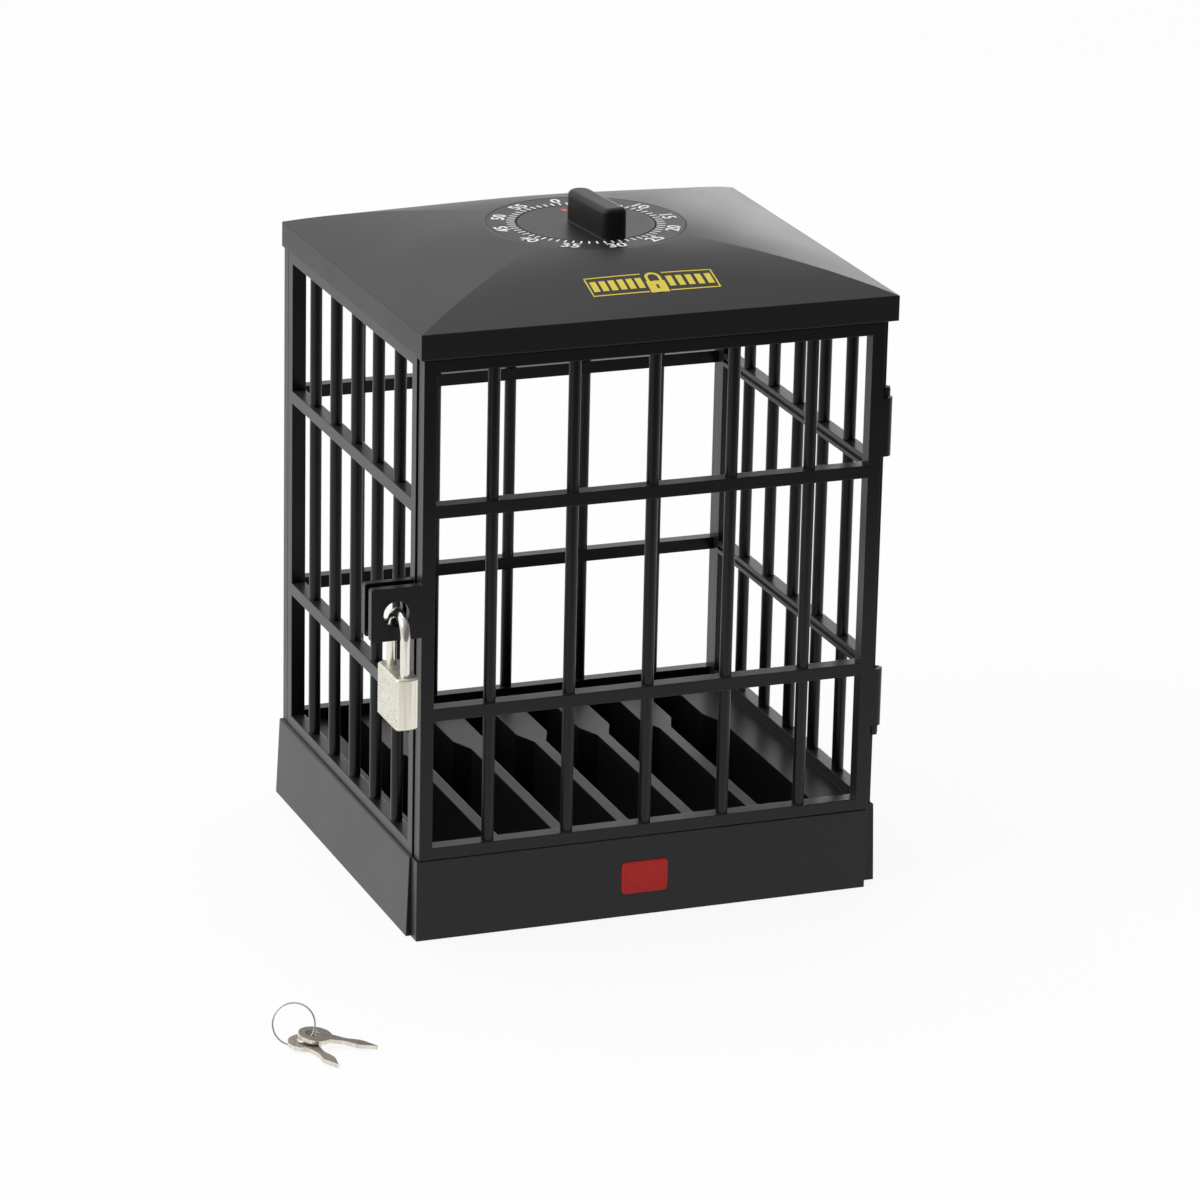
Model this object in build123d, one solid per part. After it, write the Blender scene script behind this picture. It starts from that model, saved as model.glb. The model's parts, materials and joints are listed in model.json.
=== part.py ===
from build123d import *
import math
import os

# Phone lock box: a barred cage on a slotted base, with a hinged and padlocked door,
# a hipped roof, and a clockwork timer under the roof.
# Millimetres. Origin on the floor under the middle of the cage, the door faces -Y.

# Cage
CAGE_WIDTH = 148.6
CAGE_DEPTH = 131.6
CAGE_HEIGHT = 155.2
SIDE_THICKNESS = 4.4
BACK_THICKNESS = 4.0
CORNER_GAP = 0.3
BORDER = 3.6
STILE = 4.0
RAIL_HEIGHT = 3.9
LOWER_RAIL_TOP = 47.9
UPPER_RAIL_DROP = 44.5
BAR_COUNT = 5
BAR_RADIUS = 1.85
FRONT_BAR_PITCH = 25.1
SIDE_BAR_PITCH = 20.0
GROOVE_WIDTH = 1.3
GROOVE_DEPTH = 0.8
TENON_LENGTH = 10.0
TENON_THICKNESS = 1.2
TENON_INSET = 0.9
TENON_DEPTH = 1.6
TENON_SPACING = 70.0

# Door and hinges
DOOR_THICKNESS = 4.7
DOOR_GAP = 0.9
DOOR_CLEARANCE = 0.4
DOOR_INSET_LEFT = 0.4
DOOR_INSET_RIGHT = 3.3
BARREL_RADIUS = 2.1
BARREL_LENGTH = 18.2
BARREL_OFFSET = 1.7
LOWER_BARREL_FOOT = 27.2
UPPER_BARREL_DROP = 24.0
LUG_RADIUS = 1.4
LUG_THICKNESS = 2.2
LUG_GAP = 0.3
HINGE_PIN_RADIUS = 0.8
HINGE_PIN_LENGTH = 12.0
HINGE_PIN_HEAD_RADIUS = 1.3
HINGE_PIN_HEAD = 0.7
RUNNING_FIT = 0.05
PRESS_FIT = 0.02

# Hasp ears, one on the door and one on the left panel
EAR_REACH = 15.6
EAR_HEIGHT = 16.2
EAR_CORNER = 0.8
EAR_ROOT = 1.5
DOOR_EAR_THICKNESS = 2.6
PANEL_EAR_THICKNESS = 2.4
EAR_GAP = 3.6
HASP_HOLE_RADIUS = 4.0
HASP_HEIGHT = 78.7

# Base
BASE_HEIGHT = 25.3
BASE_PROUD = 0.9
BASE_FLARE = 0.9
BASE_WALL = 2.5
BASE_EDGE = 0.7
BASE_LIP_WIDTH = 5.0
BASE_LIP_HEIGHT = 2.4
BASE_RETURN = 6.0
FRONT_PLATE_DEPTH = 4.9
FRONT_PLATE_WALL = 2.0
FRONT_PLATE_INSET_LEFT = 0.6
FRONT_PLATE_INSET_RIGHT = 4.4
PEG_RADIUS = 1.2
PEG_LENGTH = 4.0
FIT = 0.2

# Phone tray
SLOT_COUNT = 6
SLOT_PITCH = 21.15
SLOT_OFFSET = -3.6
SLOT_WIDTH = 17.4
SLOT_REAR_WIDTH = 10.8
SHOULDER_START = 21.3
SHOULDER_END = 29.3
SHOULDER_RADIUS = 3.0
TRAY_FLOOR = 2.0

# Roof and dial
ROOF_OVERHANG_SIDE = 0.7
ROOF_OVERHANG_FRONT = 0.4
SKIRT_HEIGHT = 7.7
ROOF_RISE = 11.0
ROOF_BULGE = 1.7
ROOF_WALL = 2.2
CROWN_RADIUS = 31.0
CROWN_THICKNESS = 4.7
DIAL_RADIUS = 30.2
DIAL_INNER_RADIUS = 21.3
DIAL_THICKNESS = 1.4
DIAL_GAP = 0.2
CEILING_THICKNESS = 2.0

# Timer knob
KNOB_RADIUS = 20.9
KNOB_THICKNESS = 2.1
KNOB_FLOOR_GAP = 0.3
GRIP_WIDTH = 7.8
GRIP_HEIGHT = 9.4
GRIP_REACH = 20.7
GRIP_BACK = 3.8
GRIP_CORNER = 1.9
GRIP_EDGE = 1.7
GRIP_TURN = 5.5
ARBOR_RADIUS = 2.0
ARBOR_IN_KNOB = 5.0

# Timer movement
PLATE_RADIUS = 28.0
PLATE_THICKNESS = 1.0
PILLAR_HEIGHT = 7.9
PILLAR_RADIUS = 1.9
PILLAR_CIRCLE = 25.0
PILLAR_COUNT = 3
MODULE = 0.5
MAIN_TEETH = 60
SECOND_PINION_TEETH = 10
SECOND_TEETH = 48
ESCAPE_PINION_TEETH = 8
ESCAPE_TEETH = 15
ESCAPE_RADIUS = 5.0
ESCAPE_TOOTH_DEPTH = 1.1
BACKLASH = 0.22
PRESSURE_ANGLE = 20.0
ADDENDUM = 0.8
DEDENDUM = 1.2
WHEEL_THICKNESS = 1.2
THIN_WHEEL = 0.6
PINION_LENGTH = 2.0
TRAIN_ARBOR_RADIUS = 0.7
MAIN_WHEEL_FOOT = 5.0
SECOND_WHEEL_FOOT = 4.1
ESCAPE_WHEEL_FOOT = 1.4
SECOND_ANGLE = 200.0
ESCAPE_ANGLE = 243.2
SPRING_FOOT = 0.8
SPRING_HEIGHT = 2.8
SPRING_INNER = 2.6
SPRING_PITCH = 1.8
SPRING_TURNS = 5
SPRING_STRIP = 0.4
SPRING_POST_RADIUS = 0.8
ANCHOR_GAP = 0.35
ANCHOR_BAND = 1.0
ANCHOR_SPAN = 80.0
ANCHOR_PIVOT = 7.6

# Bell and hammer
BELL_X = 44.0
BELL_RADIUS = 13.0
BELL_HEIGHT = 5.0
BELL_WALL = 0.7
BELL_SHOULDER_HEIGHT = 2.5
BELL_SHOULDER_WIDTH = 6.0
BELL_CLEARANCE = 1.5
BELL_POST_RADIUS = 2.5
HAMMER_PIVOT_X = 22.0
HAMMER_PIVOT_Y = -13.0
HAMMER_PIN_RADIUS = 0.8
HAMMER_ARM_LENGTH = 11.8
HAMMER_ARM_WIDTH = 1.8
HAMMER_ANGLE = 62.0
HAMMER_HEAD_RADIUS = 1.6
HAMMER_LIFT = 0.3

# Screws
SCREW_RADIUS = 1.2
SCREW_HEAD_RADIUS = 2.3
SCREW_HEAD_HEIGHT = 1.2
SCREW_LENGTH = 8.0
SCREW_FIT = 0.05
BOSS_RADIUS = 3.2
BASE_SCREW_INSET = 2.6
BASE_SCREW_END_INSET = 15.8
ROOF_SCREW_INSET_X = 17.0
ROOF_SCREW_INSET_Y = 20.2
ROOF_SCREW_LENGTH = 6.0

# Padlock
LOCK_WIDTH = 17.0
LOCK_BULGE = 1.0
LOCK_THICKNESS = 7.2
LOCK_HEIGHT = 16.0
LOCK_CORNER = 1.4
LOCK_EDGE = 0.5
WIRE_RADIUS = 1.5
LEG_SPACING = 12.4
LEG_LENGTH = 11.1
CROWN_SEAT = 0.35
LONG_LEG = 11.6
SHORT_LEG = 6.5
LEG_FIT = 0.05
LEG_END_GAP = 0.4
PLUG_RADIUS = 2.2
PLUG_HEIGHT = 8.0
KEYWAY_WIDTH = 1.0
KEYWAY_LENGTH = 3.4
LATCH_LENGTH = 4.0
LATCH_WIDTH = 2.4
LATCH_HEIGHT = 1.6
LATCH_BITE = 0.8
LATCH_TRAVEL = 3.0
LATCH_GAP = 0.3
LATCH_DROP = 3.0
RELEASE_TRAVEL = 7.0

# Keys and their ring
KEY_THICKNESS = 1.2
KEY_HEAD_RADIUS = 4.9
KEY_BLADE_LENGTH = 15.8
KEY_BLADE_WIDTH = 3.2
KEY_BITE = 0.5
KEY_HOLE_RADIUS = 2.0
KEY_HOLE_INSET = 1.6
KEY_LIFT = 0.7
KEY_STACK_GAP = 0.5
RING_RADIUS = 6.05
RING_WIRE = 0.25
RING_LEAN = 25.0
RING_TURN = -21.0
RING_X = -132.5
RING_Y = -126.9
FIRST_KEY_TURN = -28.0
SECOND_KEY_TURN = -76.0
SECOND_KEY_SLIP = 0.7

# Derived levels and planes
FRONT_Y = -CAGE_DEPTH / 2
BACK_Y = CAGE_DEPTH / 2
SIDE_X = CAGE_WIDTH / 2
CAGE_TOP = BASE_HEIGHT + CAGE_HEIGHT
UPPER_RAIL_TOP = CAGE_HEIGHT - UPPER_RAIL_DROP
UPPER_BARREL_FOOT = CAGE_HEIGHT - UPPER_BARREL_DROP - BARREL_LENGTH
EAVE = CAGE_TOP + SKIRT_HEIGHT
DIAL_TOP = EAVE + ROOF_RISE
CROWN_UNDER = DIAL_TOP - CROWN_THICKNESS
SIDE_FRONT = FRONT_Y + DOOR_THICKNESS + DOOR_GAP
SIDE_BACK = BACK_Y - BACK_THICKNESS - CORNER_GAP
SIDE_LENGTH = SIDE_BACK - SIDE_FRONT
SIDE_MIDDLE = (SIDE_FRONT + SIDE_BACK) / 2
DOOR_LEFT = -SIDE_X + DOOR_INSET_LEFT
DOOR_RIGHT = SIDE_X - DOOR_INSET_RIGHT
DOOR_BACK = FRONT_Y + DOOR_THICKNESS
HINGE_X = DOOR_RIGHT + BARREL_OFFSET
HINGE_Y = FRONT_Y + BARREL_RADIUS
BASE_X = SIDE_X + BASE_PROUD
BASE_BACK = BACK_Y + BASE_PROUD
TRAY_X = BASE_X - BASE_WALL - FIT
TRAY_BACK = BASE_BACK - BASE_WALL - FIT
TRAY_FRONT = FRONT_Y + FRONT_PLATE_DEPTH + FIT
ROOF_X = SIDE_X + ROOF_OVERHANG_SIDE
ROOF_Y = BACK_Y + ROOF_OVERHANG_FRONT
ROOF_SCREW_X = ROOF_X - ROOF_SCREW_INSET_X
ROOF_SCREW_Y = ROOF_Y - ROOF_SCREW_INSET_Y
BASE_SCREW_SPACING = CAGE_DEPTH - 2 * BASE_SCREW_END_INSET
CEILING_TOP = CAGE_TOP + CEILING_THICKNESS
HASP_X = DOOR_LEFT - EAR_REACH / 2
HASP_Z = BASE_HEIGHT + HASP_HEIGHT
PANEL_EAR_Y = FRONT_Y + DOOR_EAR_THICKNESS + EAR_GAP
TOP_PLATE_FOOT = CROWN_UNDER - PLATE_THICKNESS
BOTTOM_PLATE_TOP = TOP_PLATE_FOOT - PILLAR_HEIGHT
BOTTOM_PLATE_FOOT = BOTTOM_PLATE_TOP - PLATE_THICKNESS
SECOND_DISTANCE = MODULE * (MAIN_TEETH + SECOND_PINION_TEETH) / 2
ESCAPE_DISTANCE = MODULE * (SECOND_TEETH + ESCAPE_PINION_TEETH) / 2


def block(x_low, x_high, y_low, y_high, z_low, z_high):
    middle = Pos((x_low + x_high) / 2, (y_low + y_high) / 2, (z_low + z_high) / 2)
    return middle * Box(x_high - x_low, y_high - y_low, z_high - z_low)


def rod(x, y, z_low, z_high, radius):
    return Pos(x, y, (z_low + z_high) / 2) * Cylinder(radius, z_high - z_low)


def polar(radius, angle):
    return radius * math.cos(math.radians(angle)), radius * math.sin(math.radians(angle))


def screw(x, y, seat, length, up=True):
    """A pan-head screw whose head bears on the seat level, pointing up or down."""
    sense = 1 if up else -1
    shank_end = seat + sense * length
    head_end = seat - sense * SCREW_HEAD_HEIGHT
    shank = rod(x, y, min(seat, shank_end), max(seat, shank_end), SCREW_RADIUS)
    return shank + rod(x, y, min(seat, head_end), max(seat, head_end), SCREW_HEAD_RADIUS)


# Tenons that plug the panels into the tray below and the ceiling above
def tenon_places():
    side_x = SIDE_X - SIDE_THICKNESS + TENON_INSET + TENON_THICKNESS / 2
    back_y = BACK_Y - BACK_THICKNESS + TENON_INSET + TENON_THICKNESS / 2
    half = TENON_SPACING / 2
    return {
        "left": [(-side_x, -half, True), (-side_x, half, True)],
        "right": [(side_x, -half, True), (side_x, half, True)],
        "back": [(-half, back_y, False), (half, back_y, False)],
    }


def tenons(panel, z_low, z_high, clearance=0.0):
    blocks = []
    for x, y, along_y in tenon_places()[panel]:
        length = TENON_LENGTH / 2 + clearance
        width = TENON_THICKNESS / 2 + clearance
        dx, dy = (width, length) if along_y else (length, width)
        blocks.append(block(x - dx, x + dx, y - dy, y + dy, z_low, z_high))
    return blocks


def add_tenons(solid, panel):
    for piece in tenons(panel, BASE_HEIGHT - TENON_DEPTH, BASE_HEIGHT + BORDER / 2):
        solid += piece
    for piece in tenons(panel, CAGE_TOP - BORDER / 2, CAGE_TOP + TENON_DEPTH):
        solid += piece
    return solid


def cut_sockets(solid, z_low, z_high):
    for panel in tenon_places():
        for piece in tenons(panel, z_low, z_high, FIT / 2):
            solid -= piece
    return solid


# Barred panels
def bar_places(pitch):
    return [pitch * (i - (BAR_COUNT - 1) / 2) for i in range(BAR_COUNT)]


def grille(width, thickness, pitch, shy=0.0):
    """A framed grille with round bars, standing on z = 0 in the XZ plane; shy trims head and foot."""
    top = CAGE_HEIGHT - shy
    sheet = Pos(0, shy) * Rectangle(width, top - shy, align=(Align.CENTER, Align.MIN))
    rows = [
        (shy + BORDER, LOWER_RAIL_TOP - RAIL_HEIGHT),
        (LOWER_RAIL_TOP, UPPER_RAIL_TOP - RAIL_HEIGHT),
        (UPPER_RAIL_TOP, top - BORDER),
    ]
    for low, high in rows:
        sheet -= Pos(0, low) * Rectangle(width - 2 * STILE, high - low, align=(Align.CENTER, Align.MIN))
    solid = extrude(sheet, thickness / 2, both=True)
    bar_length = top - shy - BORDER
    for x in bar_places(pitch):
        solid += Pos(x, CAGE_HEIGHT / 2) * Rot(90, 0, 0) * Cylinder(BAR_RADIUS, bar_length)
    return Rot(90, 0, 0) * solid


def side_panel(side):
    """A side grille; side is -1 for left and 1 for right. Its rails are grooved inside."""
    middle_x = side * (SIDE_X - SIDE_THICKNESS / 2)
    inner_x = side * (SIDE_X - SIDE_THICKNESS)
    panel = grille(SIDE_LENGTH, SIDE_THICKNESS, SIDE_BAR_PITCH)
    panel = Pos(middle_x, SIDE_MIDDLE, BASE_HEIGHT) * Rot(0, 0, 90) * panel
    for rail_top in (LOWER_RAIL_TOP, UPPER_RAIL_TOP):
        z = BASE_HEIGHT + rail_top - RAIL_HEIGHT / 2
        groove = Box(2 * GROOVE_DEPTH, SIDE_LENGTH - 2 * STILE, GROOVE_WIDTH)
        panel -= Pos(inner_x, SIDE_MIDDLE, z) * groove
    return add_tenons(panel, "left" if side < 0 else "right")


def hasp_ear(front, thickness, root_x):
    """A rounded ear with the padlock hole, reaching from root_x out to the left."""
    left = DOOR_LEFT - EAR_REACH
    width = root_x - left
    plate = Rectangle(width, EAR_HEIGHT)
    plate = fillet(plate.vertices().group_by(Axis.X)[0], EAR_CORNER)
    plate = Pos((left + root_x) / 2, 0) * plate - Pos(HASP_X, 0) * Circle(HASP_HOLE_RADIUS)
    return Pos(0, front + thickness, HASP_Z) * Rot(90, 0, 0) * extrude(plate, thickness)


def left_panel():
    return side_panel(-1) + hasp_ear(PANEL_EAR_Y, PANEL_EAR_THICKNESS, -SIDE_X + EAR_ROOT)


def hinge_levels():
    """Foot of each barrel, whether its lug is above it, and the lug's lower face."""
    upper = BASE_HEIGHT + UPPER_BARREL_FOOT
    lower = BASE_HEIGHT + LOWER_BARREL_FOOT
    return [
        (upper, True, upper + BARREL_LENGTH + LUG_GAP),
        (lower, False, lower - LUG_GAP - LUG_THICKNESS),
    ]


def right_panel():
    panel = side_panel(1)
    reach = SIDE_FRONT + STILE / 2 - HINGE_Y
    for _, _, lug_foot in hinge_levels():
        plan = Circle(LUG_RADIUS) + Pos(0, reach / 2) * Rectangle(2 * LUG_RADIUS, reach)
        plan -= Circle(HINGE_PIN_RADIUS + PRESS_FIT)
        panel += Pos(HINGE_X, HINGE_Y, lug_foot) * extrude(plan, LUG_THICKNESS)
    return panel


def hinge_pin(barrel_foot, lug_above, lug_foot):
    lug_top = lug_foot + LUG_THICKNESS
    if lug_above:
        shank = rod(HINGE_X, HINGE_Y, lug_top - HINGE_PIN_LENGTH, lug_top, HINGE_PIN_RADIUS)
        head = rod(HINGE_X, HINGE_Y, lug_top, lug_top + HINGE_PIN_HEAD, HINGE_PIN_HEAD_RADIUS)
    else:
        shank = rod(HINGE_X, HINGE_Y, lug_foot, lug_foot + HINGE_PIN_LENGTH, HINGE_PIN_RADIUS)
        head = rod(HINGE_X, HINGE_Y, lug_foot - HINGE_PIN_HEAD, lug_foot, HINGE_PIN_HEAD_RADIUS)
    return shank + head


def back_panel():
    panel = grille(CAGE_WIDTH, BACK_THICKNESS, FRONT_BAR_PITCH)
    panel = Pos(0, BACK_Y - BACK_THICKNESS / 2, BASE_HEIGHT) * panel
    return add_tenons(panel, "back")


def door():
    middle = Pos((DOOR_LEFT + DOOR_RIGHT) / 2, (FRONT_Y + DOOR_BACK) / 2, BASE_HEIGHT)
    leaf = middle * grille(DOOR_RIGHT - DOOR_LEFT, DOOR_THICKNESS, FRONT_BAR_PITCH, DOOR_CLEARANCE)
    leaf += hasp_ear(FRONT_Y, DOOR_EAR_THICKNESS, DOOR_LEFT + EAR_ROOT)
    for foot, _, _ in hinge_levels():
        plan = Circle(BARREL_RADIUS)
        web = BARREL_OFFSET + STILE / 2
        plan += Pos(-web / 2, 0) * Rectangle(web, 2 * BARREL_RADIUS)
        leaf += Pos(HINGE_X, HINGE_Y, foot) * extrude(plan, BARREL_LENGTH)
        leaf -= rod(HINGE_X, HINGE_Y, foot, foot + BARREL_LENGTH, HINGE_PIN_RADIUS + RUNNING_FIT)
    return leaf


# Base
def peg_places():
    x = TRAY_X - BASE_RETURN / 2
    return [(side * x, z) for side in (-1, 1) for z in (BASE_HEIGHT / 4, BASE_HEIGHT * 3 / 4)]


def peg(x, z, radius):
    front = FRONT_Y + FRONT_PLATE_WALL / 2
    back = FRONT_Y + FRONT_PLATE_DEPTH + PEG_LENGTH / 2
    return Pos(x, (front + back) / 2, z) * Rot(90, 0, 0) * Cylinder(radius, back - front)


def base_screw_places():
    x = TRAY_X - BASE_SCREW_INSET
    half = BASE_SCREW_SPACING / 2
    return [(-x, -half), (x, -half), (-x, half), (x, half)]


def base_surround():
    """Flared wall on the left, back and right, with short returns in front and a lip below."""
    front = FRONT_Y + FRONT_PLATE_DEPTH + FIT
    middle = (front + BASE_BACK) / 2
    foot_depth = BASE_BACK + BASE_FLARE - front
    foot = Pos(0, middle + BASE_FLARE / 2) * Rectangle(2 * (BASE_X + BASE_FLARE), foot_depth)
    head = Pos(0, middle, BASE_HEIGHT) * Rectangle(2 * BASE_X, BASE_BACK - front)
    body = loft([foot.face(), head.face()], ruled=True)
    top_edges = body.faces().sort_by(Axis.Z)[-1].edges().sort_by(Axis.Y)[1:]
    body = fillet(top_edges, BASE_EDGE)
    inner_x = TRAY_X + FIT
    inner_back = TRAY_BACK + FIT
    body -= block(-inner_x, inner_x, front + BASE_WALL, inner_back, BASE_LIP_HEIGHT, BASE_HEIGHT)
    lip_x = inner_x - BASE_LIP_WIDTH
    body -= block(-lip_x, lip_x, front + BASE_WALL, inner_back - BASE_LIP_WIDTH, 0, BASE_HEIGHT)
    gate_x = inner_x - BASE_RETURN
    body -= block(-gate_x, gate_x, front, front + BASE_WALL, 0, BASE_HEIGHT)
    for x, z in peg_places():
        body -= peg(x, z, PEG_RADIUS + RUNNING_FIT)
    for x, y in base_screw_places():
        body -= rod(x, y, 0, BASE_LIP_HEIGHT, SCREW_RADIUS + SCREW_FIT)
        body -= rod(x, y, 0, SCREW_HEAD_HEIGHT, SCREW_HEAD_RADIUS + FIT)
    return body


def base_front_plate():
    """A hollow front cover with a rim all round and pegs behind."""
    left = -BASE_X + FRONT_PLATE_INSET_LEFT
    right = BASE_X - FRONT_PLATE_INSET_RIGHT
    back = FRONT_Y + FRONT_PLATE_DEPTH
    plate = block(left, right, FRONT_Y, back, 0, BASE_HEIGHT)
    wall = FRONT_PLATE_WALL
    plate -= block(left + wall, right - wall, FRONT_Y + wall, back, wall, BASE_HEIGHT - wall)
    for x, z in peg_places():
        plate += peg(x, z, PEG_RADIUS)
    return plate


def slot_plan(x):
    """One phone slot from above: wide in front, drawn in by two rounded shoulders behind."""
    wide = SLOT_WIDTH / 2
    narrow = SLOT_REAR_WIDTH / 2
    outline = Polyline(
        (x - wide, TRAY_FRONT),
        (x + wide, TRAY_FRONT),
        (x + wide, SHOULDER_START),
        (x + narrow, SHOULDER_END),
        (x + narrow, TRAY_BACK),
        (x - narrow, TRAY_BACK),
        (x - narrow, SHOULDER_END),
        (x - wide, SHOULDER_START),
        close=True,
    )
    plan = make_face(outline)
    shoulders = plan.vertices().filter_by_position(Axis.Y, SHOULDER_START - 1, SHOULDER_END + 1)
    return fillet(shoulders, SHOULDER_RADIUS)


def slot_centres():
    return [SLOT_OFFSET + SLOT_PITCH * (i - (SLOT_COUNT - 1) / 2) for i in range(SLOT_COUNT)]


def phone_tray():
    """The deck inside the base: phone slots between dividers, and a pad that stands on the floor."""
    tray = block(-TRAY_X, TRAY_X, TRAY_FRONT, TRAY_BACK, BASE_LIP_HEIGHT, BASE_HEIGHT)
    floor = BASE_LIP_HEIGHT + TRAY_FLOOR
    for x in slot_centres():
        tray -= Pos(0, 0, floor) * extrude(slot_plan(x), BASE_HEIGHT - floor)
    corner_x = TRAY_X - BASE_RETURN
    corner_y = TRAY_FRONT + BASE_WALL + FIT
    for side in (-1, 1):
        low, high = sorted((side * corner_x, side * TRAY_X))
        tray -= block(low, high, TRAY_FRONT, corner_y, BASE_LIP_HEIGHT, BASE_HEIGHT)
    pad_x = TRAY_X - BASE_LIP_WIDTH
    tray += block(-pad_x, pad_x, corner_y, TRAY_BACK - BASE_LIP_WIDTH, 0, BASE_LIP_HEIGHT)
    for x, y in base_screw_places():
        tray -= rod(x, y, BASE_LIP_HEIGHT, BASE_LIP_HEIGHT + SCREW_LENGTH, SCREW_RADIUS + SCREW_FIT)
    return cut_sockets(tray, BASE_HEIGHT - TENON_DEPTH - FIT, BASE_HEIGHT)


def base_screws():
    return Compound(children=[screw(x, y, SCREW_HEAD_HEIGHT, SCREW_LENGTH) for x, y in base_screw_places()])


# Roof
def hipped_dome(half_x, half_y, eave, crown_radius, crown):
    """A convex roof from a straight eave up to a round crown: its hips fade out as they rise."""
    corner = math.degrees(math.atan2(half_y, half_x))
    starts = [-corner, corner, 180 - corner, 180 + corner]
    spans = [2 * corner, 180 - 2 * corner, 2 * corner, 180 - 2 * corner]
    corners = [(half_x, -half_y), (half_x, half_y), (-half_x, half_y), (-half_x, -half_y)]
    middles = [(half_x, 0), (0, half_y), (-half_x, 0), (0, -half_y)]
    waist_level = (eave + crown) / 2 + ROOF_BULGE

    def waist_point(eave_point, angle):
        x, y = polar(crown_radius, angle)
        return (eave_point[0] + x) / 2, (eave_point[1] + y) / 2, waist_level

    foot = make_face(Pos(0, 0, eave) * Polyline(*corners, close=True))
    waist_arcs = []
    for i in range(4):
        start = waist_point(corners[i], starts[i])
        middle = waist_point(middles[i], starts[i] + spans[i] / 2)
        end = waist_point(corners[(i + 1) % 4], starts[i] + spans[i])
        waist_arcs.append(ThreePointArc(start, middle, end))
    waist = make_face(waist_arcs)
    head = make_face([CenterArc((0, 0, crown), crown_radius, a, s) for a, s in zip(starts, spans)])
    return loft([foot.face(), waist.face(), head.face()])


def roof_screw_places():
    return [(x, y) for x in (-ROOF_SCREW_X, ROOF_SCREW_X) for y in (-ROOF_SCREW_Y, ROOF_SCREW_Y)]


def pillar_places():
    return [polar(PILLAR_CIRCLE, 30 + i * 360 / PILLAR_COUNT) for i in range(PILLAR_COUNT)]


def roof_shell():
    dome = hipped_dome(ROOF_X, ROOF_Y, EAVE, CROWN_RADIUS, DIAL_TOP)
    outside = block(-ROOF_X, ROOF_X, -ROOF_Y, ROOF_Y, CAGE_TOP, EAVE) + dome
    inner_x = ROOF_X - ROOF_WALL
    inner_y = ROOF_Y - ROOF_WALL
    inner_eave = EAVE - ROOF_WALL
    hollow = block(-inner_x, inner_x, -inner_y, inner_y, CAGE_TOP, inner_eave)
    rise = CROWN_UNDER - inner_eave
    top_x = inner_x - rise * (ROOF_X - CROWN_RADIUS) / ROOF_RISE
    top_y = inner_y - rise * (ROOF_Y - CROWN_RADIUS) / ROOF_RISE
    foot = Pos(0, 0, inner_eave) * Rectangle(2 * inner_x, 2 * inner_y)
    head = Pos(0, 0, CROWN_UNDER) * Rectangle(2 * top_x, 2 * top_y)
    hollow += loft([foot.face(), head.face()], ruled=True)
    shell = outside - hollow
    for x, y in roof_screw_places():
        shell += rod(x, y, CEILING_TOP, EAVE + ROOF_RISE / 2, BOSS_RADIUS) & outside
        shell -= rod(x, y, CEILING_TOP, CAGE_TOP + ROOF_SCREW_LENGTH, SCREW_RADIUS + SCREW_FIT)
    shell -= rod(0, 0, DIAL_TOP - DIAL_THICKNESS, DIAL_TOP, DIAL_RADIUS + DIAL_GAP)
    knob_floor = DIAL_TOP - KNOB_THICKNESS - KNOB_FLOOR_GAP
    shell -= rod(0, 0, knob_floor, DIAL_TOP, DIAL_INNER_RADIUS)
    shell -= rod(0, 0, CROWN_UNDER, DIAL_TOP, ARBOR_RADIUS + FIT)
    for x, y in pillar_places():
        shell -= rod(x, y, CROWN_UNDER, movement_screw_tip() + FIT, SCREW_RADIUS + SCREW_FIT)
    return shell


def ceiling_plate():
    """A flat plate that closes the roof from below and carries the bell's post."""
    half_x = ROOF_X - ROOF_WALL - FIT
    half_y = ROOF_Y - ROOF_WALL - FIT
    plate = block(-half_x, half_x, -half_y, half_y, CAGE_TOP, CEILING_TOP)
    post_top = CEILING_TOP + BELL_CLEARANCE + BELL_HEIGHT - BELL_WALL
    plate += rod(BELL_X, 0, CAGE_TOP, post_top, BELL_POST_RADIUS)
    plate -= rod(BELL_X, 0, CEILING_TOP, post_top, SCREW_RADIUS + SCREW_FIT)
    for x, y in roof_screw_places():
        plate -= rod(x, y, CAGE_TOP, CEILING_TOP, SCREW_RADIUS + SCREW_FIT)
    return cut_sockets(plate, CAGE_TOP, CEILING_TOP)


def roof_screws():
    return Compound(children=[screw(x, y, CAGE_TOP, ROOF_SCREW_LENGTH) for x, y in roof_screw_places()])


def dial_ring():
    ring = Circle(DIAL_RADIUS) - Circle(DIAL_INNER_RADIUS)
    return Pos(0, 0, DIAL_TOP - DIAL_THICKNESS) * extrude(ring, DIAL_THICKNESS)


# Timer knob and arbor
def timer_knob():
    """A flat disc with a tall grip that runs from behind the middle out to the rim."""
    disc = rod(0, 0, DIAL_TOP - KNOB_THICKNESS, DIAL_TOP, KNOB_RADIUS)
    half = GRIP_WIDTH / 2
    bar = Pos(0, (GRIP_BACK - GRIP_REACH) / 2) * Rectangle(GRIP_WIDTH, GRIP_BACK + GRIP_REACH)
    bar = fillet(bar.vertices().group_by(Axis.Y)[0], GRIP_CORNER)
    plan = bar + Pos(0, GRIP_BACK) * Circle(half)
    grip = extrude(plan, GRIP_HEIGHT)
    grip = fillet(grip.faces().sort_by(Axis.Z)[-1].edges(), GRIP_EDGE)
    knob = disc + Pos(0, 0, DIAL_TOP) * Rot(0, 0, GRIP_TURN) * grip
    return knob - rod(0, 0, DIAL_TOP - KNOB_THICKNESS, DIAL_TOP + ARBOR_IN_KNOB, ARBOR_RADIUS + PRESS_FIT)


def timer_arbor():
    return rod(0, 0, BOTTOM_PLATE_FOOT - PLATE_THICKNESS / 2, DIAL_TOP + ARBOR_IN_KNOB, ARBOR_RADIUS)


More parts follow.
